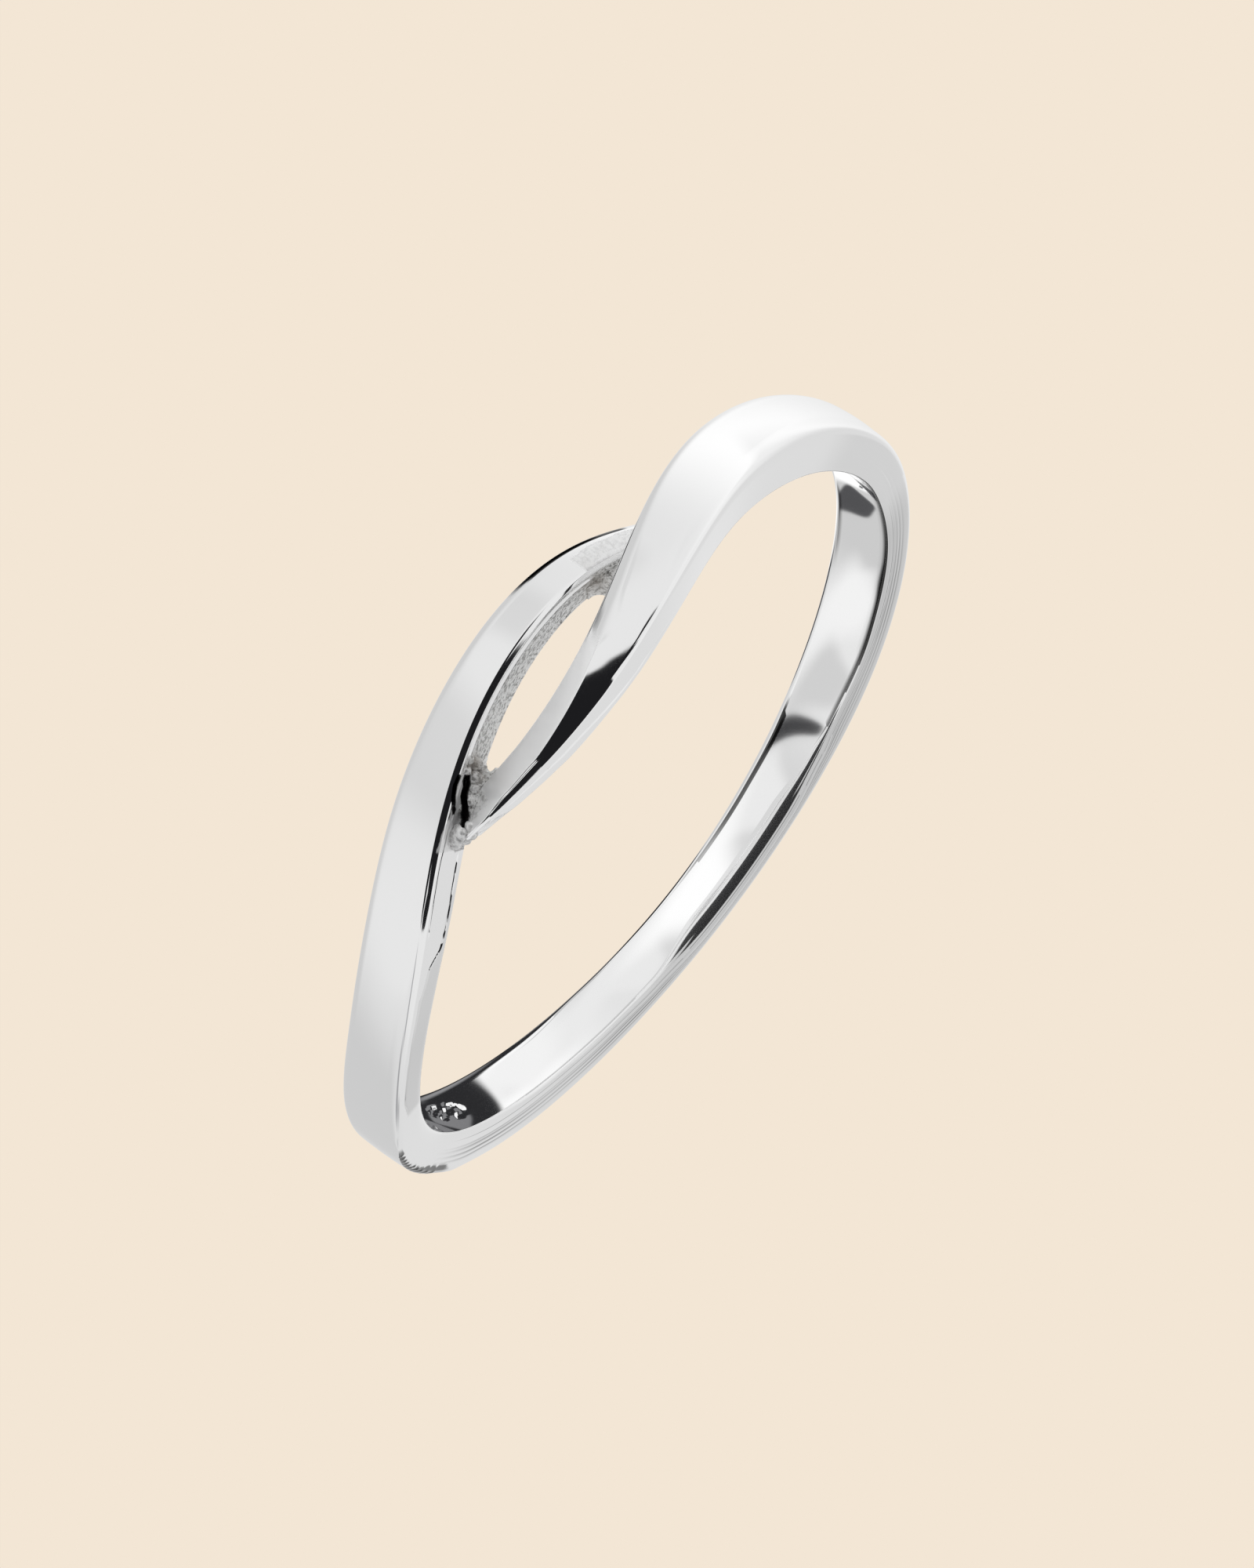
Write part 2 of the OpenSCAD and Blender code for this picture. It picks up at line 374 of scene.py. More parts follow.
def swept_mesh(name, rings):
    """A closed mesh through rings of points (rings x points x 3), with a flat face at each end."""
    count, n = rings.shape[:2]
    a = (np.arange(count - 1)[:, None] * n + np.arange(n)).ravel()
    b = (np.arange(count - 1)[:, None] * n + (np.arange(n) + 1) % n).ravel()
    quads = np.stack([a, a + n, b + n, b], 1)
    caps = [list(range(n)), list(range(count * n - 1, (count - 1) * n - 1, -1))]
    mesh = bpy.data.meshes.new(name)
    mesh.from_pydata(rings.reshape(-1, 3).tolist(), [], quads.tolist() + caps)
    mesh.update()
    return mesh


def strand(name, turns, front_step):
    """One half of the wire as a closed mesh. Its inner wall steps back a little at the front."""
    from_front = np.abs((turns + 180) % 360 - 180)
    inner_r = BORE_R + front_step * (1 - smooth_step(*STEP_FADE, from_front))
    outlines = section_outlines(rows_at(turns), turns, inner_r)
    return swept_mesh(name, in_ring(outlines, turns))


# Beads of solder and cast metal in the wedges of the eye
BEADS = [
    # turn, distance from the axis, height, radius
    (14.0, 9.66, -0.20, 0.13), (14.3, 9.28, -0.15, 0.18),
    (14.9, 8.98, -0.10, 0.17), (15.4, 9.62, -0.12, 0.12),
    (15.9, 9.26, -0.04, 0.17), (16.0, 9.10, 0.12, 0.16),
    (15.4, 9.84, -0.14, 0.08), (17.5, 9.10, 0.08, 0.22),
    (18.8, 9.15, 0.10, 0.24), (20.4, 9.15, 0.14, 0.24),
    (21.6, 9.42, 0.56, 0.17), (22.4, 9.25, 0.54, 0.18),
    (22.6, 9.50, 0.45, 0.18), (23.6, 9.42, 0.38, 0.19),
    (23.6, 9.18, 0.45, 0.18), (24.6, 9.28, 0.36, 0.18),
    (25.2, 9.08, 0.36, 0.16), (-12.8, 9.02, -0.72, 0.17),
    (-13.8, 9.22, -0.70, 0.17), (-15.3, 9.30, -0.68, 0.17),
    (-15.6, 9.12, -0.62, 0.17), (-17.0, 9.25, -0.60, 0.16),
]
# Slots left open between the two strands in the right wedge: their radius, and the places
# (turn, distance from the axis, height) on their path
SLOTS = [
    (0.045, [
        (16.2, 9.97, -0.07), (17.4, 9.98, -0.04), (18.7, 9.93, 0.04), (19.8, 9.83, 0.11),
        (20.9, 9.68, 0.17),
    ]),
    (0.075, [
        (16.2, 9.62, -0.03), (17.2, 9.46, 0), (18.5, 9.42, 0.05), (19.5, 9.28, 0.13),
        (20.4, 9.33, 0.24), (21.1, 9.43, 0.34), (22.2, 9.52, 0.45),
    ]),
]
# How many times as deep as wide a slot is, and points to a leg of its path and round it
SLOT_DEPTH = 3
SLOT_POINTS = 12


def ring_point(turn, distance, height):
    """A point by its turn in degrees, distance from the axis and height."""
    t = math.radians(turn)
    return np.array([distance * math.sin(t), -distance * math.cos(t), height])


def slot_path(points):
    """Points along a slot, SLOT_POINTS to a leg, on straight legs between the given places."""
    places = [ring_point(*point) for point in points]
    legs = [
        np.linspace(here, there, SLOT_POINTS, endpoint=False)
        for here, there in zip(places, places[1:])
    ]
    return np.concatenate(legs + [places[-1][None]])


def slot_inwards(path):
    """The way a slot is deepest at each point of its path, towards the finger and down, and
    the way the path runs there."""
    along = np.gradient(path, axis=0)
    along /= np.linalg.norm(along, axis=1, keepdims=True)
    inwards = -path * [1, 1, 0] + [0, 0, -4]
    inwards -= along * np.sum(inwards * along, axis=1, keepdims=True)
    inwards /= np.linalg.norm(inwards, axis=1, keepdims=True)
    return inwards, along


def slot(index, radius, points):
    """A slot to cut: a tube round its path, whose radius fades to its ends as the fourth root
    of 4f(1-f), and which is SLOT_DEPTH times as deep, towards the finger, as it is wide."""
    path = slot_path(points)
    f = np.linspace(0.02, 0.98, len(path))
    inwards, along = slot_inwards(path)
    across = np.cross(along, inwards)
    angle = np.linspace(0, 2 * math.pi, SLOT_POINTS, endpoint=False)[None, :, None]
    reach = radius * (4 * f * (1 - f))[:, None, None] ** 0.25
    tube = across[:, None] * np.cos(angle) + SLOT_DEPTH * inwards[:, None] * np.sin(angle)
    return swept_mesh(f"slot_{index}", path[:, None] + reach * tube)


def bead(index, turn, distance, height, radius):
    """A lump of metal: a sphere whose radius swells and shrinks by a tenth or so, as
    1 + 0.12 sin(3a + i) cos(2b + i) of its longitude a and latitude b."""
    longitude = np.linspace(0, 2 * math.pi, 16, endpoint=False)[None]
    latitude = np.linspace(-math.pi / 2, math.pi / 2, 11)[1:-1][:, None]
    swell = radius * (1 + 0.12 * np.sin(3 * longitude + index) * np.cos(2 * latitude + index))
    rings = np.stack([
        swell * np.cos(latitude) * np.cos(longitude),
        swell * np.cos(latitude) * np.sin(longitude),
        swell * np.sin(latitude) + 0 * longitude,
    ], -1)
    return swept_mesh(f"bead_{index}", rings[:, ::-1] + ring_point(turn, distance, height))


def web(name, turn_from, turn_to, low, high):
    """The metal in a wedge of the eye: a bar of rectangular section bent round the finger."""
    inner = BORE_R + 2 * INNER_STEP
    outer = BORE_R + WEB_THICK
    turns = np.linspace(turn_from, turn_to, 41)
    corners = np.array([[inner, low], [outer, low], [outer, high], [inner, high]])
    return swept_mesh(name, in_ring(np.repeat(corners[None], len(turns), 0), turns))


def eye_corner(name, turn, height, radius):
    """A rod away from the finger that rounds a corner of the eye: a circle of 48 points."""
    angle = np.linspace(0, 2 * math.pi, 48, endpoint=False)
    side = -radius * np.cos(angle)
    up = height + radius * np.sin(angle)
    t = math.radians(turn)
    rings = [
        np.stack([
            out * math.sin(t) + side * math.cos(t), side * math.sin(t) - out * math.cos(t), up,
        ], -1)
        for out in (BORE_R - 1, BORE_R + 3)
    ]
    return swept_mesh(name, np.array(rings))


def combined(mesh, others, operation):
    """mesh with the closed meshes of others added (UNION) or cut away (DIFFERENCE)."""
    base = bpy.data.objects.new("combined", mesh)
    bpy.context.scene.collection.objects.link(base)
    group = bpy.data.collections.new("others")
    made = [bpy.data.objects.new(m.name, m) for m in others]
    for o in made:
        group.objects.link(o)
    modifier = base.modifiers.new("combine", "BOOLEAN")
    modifier.operation = operation
    modifier.solver = "EXACT"
    modifier.operand_type = "COLLECTION"
    modifier.collection = group
    depsgraph = bpy.context.evaluated_depsgraph_get()
    result = bpy.data.meshes.new_from_object(base.evaluated_get(depsgraph))
    for o in made + [base]:
        bpy.data.objects.remove(o)
    bpy.data.collections.remove(group)
    return result


def rest_matrix():
    """Turns the ring frame into the row's: first the pitch about X, then the roll about Y."""
    p, r = math.radians(REST_PITCH), math.radians(REST_ROLL)
    pitch = np.array([[1, 0, 0], [0, math.cos(p), math.sin(p)], [0, -math.sin(p), math.cos(p)]])
    roll = np.array([[math.cos(r), 0, math.sin(r)], [0, 1, 0], [-math.sin(r), 0, math.cos(r)]])
    return roll @ pitch


REST = rest_matrix()


def to_row(points):
    """Points in the ring frame, in millimetres, as points in the row's frame, in metres."""
    return points @ REST.T * MM + RING_CENTRE


def put(made, rotation, place):
    """Turns an object by a rotation in the row's frame, and puts it at a place in the ring
    frame."""
    matrix = np.eye(4)
    matrix[:3, :3] = rotation
    matrix[:3, 3] = to_row(np.array(place))
    made.matrix_world = [list(row) for row in matrix.T]


def linear(hex_colour):
    """An sRGB hex colour as linear red, green, blue and an alpha of 1."""
    parts = np.array([int(hex_colour[i : i + 2], 16) for i in (1, 3, 5)]) / 255
    values = np.where(parts <= 0.04045, parts / 12.92, ((parts + 0.055) / 1.055) ** 2.4)
    return (*values.tolist(), 1.0)


def add(tree, kind, inputs=(), output=0, **settings):
    """Adds a node to tree, with its settings, and gives one of its outputs by name or number.
    inputs maps the name or number of an input to a value, or to another node's output, which
    is then linked to it."""
    made = tree.nodes.new(kind)
    for name, value in settings.items():
        setattr(made, name, value)
    for name, value in dict(inputs).items():
        socket = made.inputs[name]
        if isinstance(value, bpy.types.NodeSocket):
            tree.links.new(value, socket)
        else:
            socket.default_value = value
    return made.outputs[output] if made.outputs else None


def new_material(name):
    """A material without nodes, and its node tree."""
    material = bpy.data.materials.new(name)
    material.use_nodes = True
    material.node_tree.nodes.clear()
    return material, material.node_tree


# Sterling silver is nearly white, and takes a mirror polish that this roughness gives
SILVER_COLOUR = "#F7F7F7"
POLISH_ROUGHNESS = 0.06
# The frosted cast skin scatters light like a matt white, with painted shade that makes it
# darker in the hollows between its grains, and this share of it mirrors like metal
SKIN_COLOUR = "#FFFFFE"
SKIN_HOLLOW_COLOUR = "#A4A3A1"
SKIN_METAL = 0.25
SKIN_ROUGHNESS = 0.34
# Grains of the casting sand: spacing and relief in millimetres, and the noise's heights in a
# hollow and on a grain
GRAIN_SPACING = 0.09
GRAIN_RELIEF = 0.04
GRAIN_HEIGHTS = (0.38, 0.55)
# Grains show on skin from this amount up
GRAINS_FROM = 0.6
# Silver browned by the solder's flux, the grey of the painted shade on the top at the back,
# and the near black of the painted dark reflections and shade in lines, edges and slots
TARNISH_COLOUR = "#A89F95"
TOP_SHADE_COLOUR = "#D2D2D2"
PAINTED_DARK_COLOUR = "#1A1918"
# Amounts of the attribute blackening at which a point is not yet darkened
# and fully dark
UNPAINTED = 0.45
BLACK = 0.65


def polished_silver():
    """Sterling silver, cast and polished by wheel. The polish mirrors the tent; the cast skin
    left in the eye scatters it, so that it looks sandy, and the solder there is brownish.
    Painted shade greys the top at the back, and painted dark reflections and shade blacken
    thin lines, edges and the slots."""
    material, tree = new_material("polished_sterling_silver")
    place = add(tree, "ShaderNodeTexCoord", output="Object")
    skin, brown, shaded_top, painted_dark = (
        add(tree, "ShaderNodeAttribute", output="Fac", attribute_name=name)
        for name in ("cast_skin", "tarnish", "dulled", "blackening")
    )
    # The grains show only where the skin is whole
    grains = add(tree, "ShaderNodeTexNoise", {
        "Vector": place, "Scale": 1 / (GRAIN_SPACING * MM), "Detail": 2.0, "Roughness": 0.6,
    })
    rough_skin = add(tree, "ShaderNodeMapRange", {
        "Value": skin, "From Min": GRAINS_FROM, "From Max": 1.0,
    })
    height = add(tree, "ShaderNodeMath", {0: grains, 1: rough_skin}, operation="MULTIPLY")
    bump = add(tree, "ShaderNodeBump", {
        "Height": height, "Strength": 0.8, "Distance": GRAIN_RELIEF * MM,
    })
    roughness = add(tree, "ShaderNodeMapRange", {
        "Value": skin, "To Min": POLISH_ROUGHNESS, "To Max": SKIN_ROUGHNESS,
    })
    # Painted shade: the hollows between the grains take the darker grey
    shade = add(tree, "ShaderNodeMapRange", {
        "Value": grains, "From Min": GRAIN_HEIGHTS[0], "From Max": GRAIN_HEIGHTS[1],
    })
    patch = add(tree, "ShaderNodeMath", {0: brown, 1: rough_skin}, operation="MULTIPLY")
    # Painted dark reflections and shade: thin lines, edges, the foot to the left and the slots
    dark = add(tree, "ShaderNodeMapRange", {"Value": painted_dark, "From Min": UNPAINTED, "From Max": BLACK})
    sandy = add(tree, "ShaderNodeMix", {
        0: shade, 6: linear(SKIN_HOLLOW_COLOUR), 7: linear(SKIN_COLOUR),
    }, output=2, data_type="RGBA")
    colour = linear(SILVER_COLOUR)
    # After the sandy skin and the brown tarnish come the painted shade on the top at the back and
    # the painted dark reflections and shade
    for share, other in (
        (rough_skin, sandy), (patch, linear(TARNISH_COLOUR)),
        (shaded_top, linear(TOP_SHADE_COLOUR)), (dark, linear(PAINTED_DARK_COLOUR)),
    ):
        colour = add(
            tree, "ShaderNodeMix", {0: share, 6: colour, 7: other}, output=2, data_type="RGBA"
        )
    metallic = add(tree, "ShaderNodeMapRange", {
        "Value": skin, "From Max": 0.5, "To Min": 1.0, "To Max": SKIN_METAL,
    })
    surface = add(tree, "ShaderNodeBsdfPrincipled", {
        "Base Color": colour, "Metallic": metallic, "Roughness": roughness, "Normal": bump,
    })
    add(tree, "ShaderNodeOutputMaterial", {"Surface": surface})
    return material


# Degrees within which a point is on a flat end, and millimetres within which two are one
END_TOLERANCE = 1e-3
WELD_DISTANCE = 1e-4


def welded(front, back):
    """One mesh of the front parts and the back of the wire. The flat ends where they meet are
    left out, and the points that coincide there become one."""
    whole = bmesh.new()
    whole.from_mesh(front)
    whole.from_mesh(back)
    whole.verts.index_update()
    turns = [math.degrees(math.atan2(v.co.x, -v.co.y)) for v in whole.verts]
    ends = [
        face for face in whole.faces
        if all(abs(abs(turns[v.index]) - FRONT_END) < END_TOLERANCE for v in face.verts)
    ]
    bmesh.ops.delete(whole, geom=ends, context="FACES")
    bmesh.ops.remove_doubles(whole, verts=whole.verts[:], dist=WELD_DISTANCE)
    mesh = bpy.data.meshes.new("loop_ring")
    whole.to_mesh(mesh)
    whole.free()
    mesh.validate()
    return mesh


def polar(co):
    """The turns of points in degrees, from -180 to 180, and their distances from the axis."""
    return np.degrees(np.arctan2(co[:, 0], -co[:, 1])), np.hypot(co[:, 0], co[:, 1])


# Turns between which cast skin is left: on the floor of the eye, in the wedges, on a rough patch
# by the left shoulder, on the lower bevel above the eye, where it fades in, and on the shelf
# by the slots
EYE_FLOOR = (-24, 15.5)
RIGHT_WEDGE = (12.5, 16.5)
LEFT_WEDGE = (-27, -12.5)
PATCH = (-25, -15)
SATIN_BEVEL = (-30, 25)
SATIN_FADE = (-9, -6)
SHELF = (15.5, 26)
# Turns beyond which the inner crown is worn, and beyond which the beads are smoother
WORN_TURN = 140
TIP_TURN = 21
# How much skin is left on the parts that have some of it
PATCH_SKIN = 0.68
SATIN_SKIN = 0.5
SHELF_SKIN = 0.45
WORN_SKIN = 0.05
TIP_SKIN = 0.8
# How deep below the top the skin starts, and how far it reaches from a bead, in its radii
SKIN_DEPTH = 0.045
BEAD_REACH = 1.15


def cast_skin(co):
    """How much of the cast skin is left at each point: 1 on the floor behind the rim and on the
    beads and metal in the wedges of the eye, some on the parts listed above, else 0."""
    turns, r = polar(co)
    z = co[:, 2]
    below, above = rows_at(turns), rows_at(turns + 360)
    top, foot = topside(below), underside(above)
    rim = BORE_R + below[:, THICKNESS] - eased(turns, FINISH, REACH)
    rim = rim - eased(turns, GROOVE, 1) - eased(turns, GROOVE, 2)
    on_floor = within(turns, *EYE_FLOOR) & (np.abs(z - top) < SKIN_DEPTH)
    whole_skin = on_floor & within(r, BORE_R + 0.01, rim)
    in_wedge = within(turns, *RIGHT_WEDGE) | within(turns, *LEFT_WEDGE)
    whole_skin |= in_wedge & within(z, top - SKIN_DEPTH, foot + 0.02) & (r < rim)
    tip = np.zeros(len(co), bool)
    for turn, distance, height, radius in BEADS:
        away = np.linalg.norm(co - ring_point(turn, distance, height), axis=1)
        whole_skin |= away < BEAD_REACH * radius
        if turn > TIP_TURN:
            tip |= away < BEAD_REACH * radius
    face_foot = foot + bevels(above, eased(turns + 360, FINISH, DROP))
    satin = within(turns, *SATIN_BEVEL) & within(z, foot + 0.005, face_foot - 0.01)
    satin &= r < BORE_R + above[:, THICKNESS] + 0.01
    patch = within(turns, *PATCH) & (r > rim) & within(z, top - 0.6, top - 0.1) & (z < foot - 0.02)
    partly = np.where(patch, PATCH_SKIN, 0.0)
    partly = np.where(satin, SATIN_SKIN * smooth_step(*SATIN_FADE, turns), partly)
    shelf = within(turns, *SHELF) & (np.abs(z - top) < 0.07) & within(r, BORE_R + 0.3, rim + 0.2)
    partly = np.where(shelf, SHELF_SKIN, partly)
    worn = (np.abs(turns) > WORN_TURN) & within(r, BORE_R + 0.002, BORE_R + 0.6)
    worn &= z > topside(rows_at(turns % 360)) - 0.3
    partly = np.where(worn, np.maximum(partly, WORN_SKIN), partly)
    return np.where(whole_skin, np.where(tip, TIP_SKIN, 1.0), partly)


# How much painted shade greys the top by turn, from the front right round the back to the
# left shoulder
TOP_SHADE_BY_TURN = np.array([
    # turn, share of painted shade
    [26, 0], [36, 0.5], [48, 0.65], [60, 0.8], [75, 0.8], [77, 0],
    [122, 0], [144, 0.3], [156, 0.6], [170, 0.9], [192, 1], [252, 1],
    [264, 0.45], [288, 0.4], [300, 0],
])
# The turn where the crease at the right ends
CREASE_END = 80


def dulled(co):
    """How much painted shade greys the top: TOP_SHADE_BY_TURN on the top at the back, and on the
    top to the right only on the side of the crease towards the finger."""
    turns, r = polar(co)
    turns = turns % 360
    rows = rows_at(turns)
    edge = BORE_R + rows[:, THICKNESS] - eased(turns, FINISH, REACH)
    crease = eased(turns, CREASE, 1) + 0.5 * eased(turns, CREASE, 2)
    crease = np.where(turns < CREASE_END, crease, 0.03)
    on_top = (co[:, 2] > topside(rows) - 0.06) & within(r, BORE_R + 0.03, edge - crease)
    here = on_top & within(turns, TOP_SHADE_BY_TURN[0, 0], TOP_SHADE_BY_TURN[-1, 0])
    return np.where(here, eased(turns, TOP_SHADE_BY_TURN, 1), 0)


# Where the solder left the silver brown: place (turn, distance, height), reach and strength
TARNISH = [
    (14.3, 9.45, -0.15, 0.24, 0.8),
    (15.6, 9.15, 0.02, 0.20, 0.6),
    (-15.4, 9.0, -0.45, 0.30, 0.8),
    (-14.6, 9.45, -0.60, 0.28, 0.9),
]


def tarnish(co):
    """How brown each point is: the greatest of strength * exp(-(distance / reach)^2)."""
    amount = np.zeros(len(co))
    for turn, distance, height, reach, strength in TARNISH:
        away = np.linalg.norm(co - ring_point(turn, distance, height), axis=1) / reach
        amount = np.maximum(amount, strength * np.exp(-away * away))
    return amount


# How dark the painted dark reflections of the thin lines are by turn, where 0.45 is
# unpainted: along the upper edge of the inner wall, which also darkens the wall below it over
# a soft width, and along the lower edge with its half width
UPPER_LINE = np.array([
    # turn, darkness, soft width
    [112, 0.45, 0.03], [118, 0.5, 0.03], [164, 0.5, 0.03], [170, 0.45, 0.03],
    [207, 0.45, 0.03], [212, 0.6, 0.04], [222, 0.62, 0.07], [228, 0.64, 0.12],
    [276, 0.64, 0.14], [284, 0.58, 0.03], [294, 0.45, 0.03],
])
LOWER_LINE = np.array([
    # turn, darkness, half width
    [138, 0.45, 0.03], [144, 0.52, 0.03], [158, 0.52, 0.03], [164, 0.45, 0.03],
    [176, 0.45, 0.03], [184, 0.55, 0.06], [192, 0.62, 0.08], [210, 0.64, 0.08],
    [213, 0.45, 0.06], [236, 0.45, 0.03], [246, 0.56, 0.03], [258, 0.62, 0.03],
    [262, 0.45, 0.03],
])
# Half the width of the upper line, and how far off the wall a point still counts as on it
UPPER_HALF = 0.03
OFF_WALL = 0.004
# Turns between which the wall has lines
WALL_LINES = (62, 298)
# How dark the painted dark reflections in the fine lines of the top are, at the same places
# as LINE_DEPTHS
LINE_DARKNESS = np.array([
    0.45, 0.45, 0.45, 0.59, 0.45, 0.45, 0.64, 0.45, 0.45, 0.62, 0.45, 0.57, 0.45,
])
# Turns between which the lines of the top darken and fade again
TOP_LINES_FROM = (102, 122)
TOP_LINES_TO = (244, 266)
# The innermost of the painted dark lines: how far out from the finger hole, half its width,
# its darkness and its turns
INNER_LINE = {"out": 0.2, "half": 0.025, "dark": 0.61, "turns": (106, 262)}
# How dark the painted dark reflection along the outer edge is at the back, by turn, and on
# the notched bevel
EDGE_DARKNESS = np.array([[136, 0.45], [146, 0.58], [200, 0.58], [212, 0.45]])
EDGE_TURNS = (130, 220)
BEVEL_DARKNESS = np.array([[84.5, 0.45], [87, 0.66], [110, 0.66], [114.5, 0.45]])
BEVEL_TURNS = (84, 115.5)
# How far the painted dark reflection of the notched bevel reaches in along the top, by turn,
# and the share of that which a notch takes away
BEVEL_SPREAD = np.array([[92, 0], [98, 0.03], [105, 0.16], [110, 0.17], [114, 0]])
NOTCH_SHARE = 0.4


def wall_lines(co, turns, r, rows):
    """How dark each point is painted in the dark reflections along both edges of the inner wall."""
    edge = topside(rows) + eased(turns, FINISH, CROWN) - eased(turns, FINISH, ALONG_WALL)
    over = co[:, 2] - edge
    upper, soft = eased(turns, UPPER_LINE, 1), eased(turns, UPPER_LINE, 2)
    at_back = within(turns, *WALL_LINES)
    on_wall = (r < BORE_R + OFF_WALL) & at_back
    amount = np.where(on_wall & (np.abs(over) < UPPER_HALF), upper, 0)
    fading = UNPAINTED + 0.6 * (upper - UNPAINTED) * np.clip(1 + over / soft, 0, 1)
    amount = np.maximum(amount, np.where(on_wall & (over < 0) & (soft > 0.04), fading, 0))
    rounding = at_back & (soft > 0.06) & (r < BORE_R + 0.03) & within(over, 0, 0.06)
    amount = np.maximum(amount, np.where(rounding, upper, 0))
    under = np.abs(co[:, 2] - underside(rows) - eased(turns, FINISH, AT_LOW))
    at_lower = on_wall & (under < eased(turns, LOWER_LINE, 2))
    return np.maximum(amount, np.where(at_lower, eased(turns, LOWER_LINE, 1), 0))


def line_darkness(co):
    """How dark each point is painted in the thin lines of painted dark reflection: along the edges
    of the inner wall, along the top at the back and its outer edge, and on the notched bevel,
    where the notches stay bright."""
    turns, r = polar(co)
    turns = turns % 360
    rows = rows_at(turns)
    high = topside(rows)
    amount = wall_lines(co, turns, r, rows)
    drop, reach, at_top, along_top = (
        eased(turns, FINISH, column) for column in (DROP, REACH, AT_TOP, ALONG_TOP)
    )
    edge = BORE_R + rows[:, THICKNESS] - reach
    share = (edge - at_top - r) / (edge - at_top - BORE_R - along_top)
    waver = 0.8 + 0.2 * np.sin(turns / 6)
    lines = UNPAINTED + (np.interp(share, LINE_SHARES, LINE_DARKNESS) - UNPAINTED) * waver
    shown = smooth_step(*TOP_LINES_FROM, turns) * (1 - smooth_step(*TOP_LINES_TO, turns))
    inner = np.abs(r - BORE_R - INNER_LINE["out"]) < INNER_LINE["half"]
    inner &= within(turns, *INNER_LINE["turns"])
    lines = UNPAINTED + (np.where(inner, INNER_LINE["dark"], lines) - UNPAINTED) * shown
    in_lines = (shown > 0) & within(share, 0, 1) | inner
    amount = np.maximum(amount, np.where(in_lines & (co[:, 2] > high - 0.03), lines, 0))
    at_edge = (np.abs(r - edge) < 0.06) & (co[:, 2] > high - 0.06) & within(turns, *EDGE_TURNS)
    amount = np.maximum(amount, np.where(at_edge, eased(turns, EDGE_DARKNESS, 1), 0))
    away = [(turns - notch) / NOTCH_HALF_TURN for notch in NOTCHES]
    teeth = np.exp(-np.min(np.square(away), axis=0))
    down = (high - co[:, 2]) / drop
    bevel = smooth_step(0, 0.15, down - 0.05 - 0.3 * teeth) * (r > edge - 0.06)
    spread = eased(turns, BEVEL_SPREAD, 1) * (1 - NOTCH_SHARE * teeth)
    bevel = np.maximum(bevel, smooth_step(-0.02, 0.03, r - edge + spread) * (spread > 0.02))
    notched = within(turns, *BEVEL_TURNS) & (down < 1.1) & (r > edge - 0.4)
    bevel_dark = UNPAINTED + (eased(turns, BEVEL_DARKNESS, 1) - UNPAINTED) * bevel
    return np.maximum(amount, np.where(notched, bevel_dark, 0))


# The painted shade along the foot to the left: its height above the lower bevel, its
# darkness, and the turns between which it comes and goes
SILHOUETTE_REACH = 0.03
SILHOUETTE_DARKNESS = 0.64
SILHOUETTE_FROM = (-26, -23)
SILHOUETTE_TO = (-10, -6)


def silhouette(co):
    """How dark the painted shade is on the foot of the strand below the eye to the left, where it
    turns away.
    """
    turns, r = polar(co)
    rows = rows_at(turns)
    foot = underside(rows) + rows[:, BEVEL]
    here = within(turns, SILHOUETTE_FROM[0], SILHOUETTE_TO[1])
    here &= (co[:, 2] < foot + SILHOUETTE_REACH) & (r > BORE_R + 0.4)
    shown = smooth_step(*SILHOUETTE_FROM, turns) * (1 - smooth_step(*SILHOUETTE_TO, turns))
    return np.where(here, SILHOUETTE_DARKNESS * shown, 0)


# How far the painted shade spreads from a slot, in radii of the slot
SLOT_SHADE_SPREAD = 1.75


def blackening(co):
    """How black each point is painted: the painted dark reflections of the thin lines, the
    painted shade on the foot to the left, and the painted shade in and round the slots,
    exp(-(distance / spread)^2), with the distance along a slot's depth divided by SLOT_DEPTH."""
    amount = np.maximum(line_darkness(co), silhouette(co))
    for radius, points in SLOTS:
        path = slot_path(points)
        for place, inwards in zip(path, slot_inwards(path)[0]):
            away = co - place
            depth = np.maximum(away @ inwards, 0)
            square = np.sum(away * away, axis=1) - depth * depth * (1 - 1 / SLOT_DEPTH**2)
            amount = np.maximum(amount, np.exp(-square / (SLOT_SHADE_SPREAD * radius) ** 2))
    return amount


# Degrees between two faces from which the edge between them is sharp
SHARP_ANGLE = 35


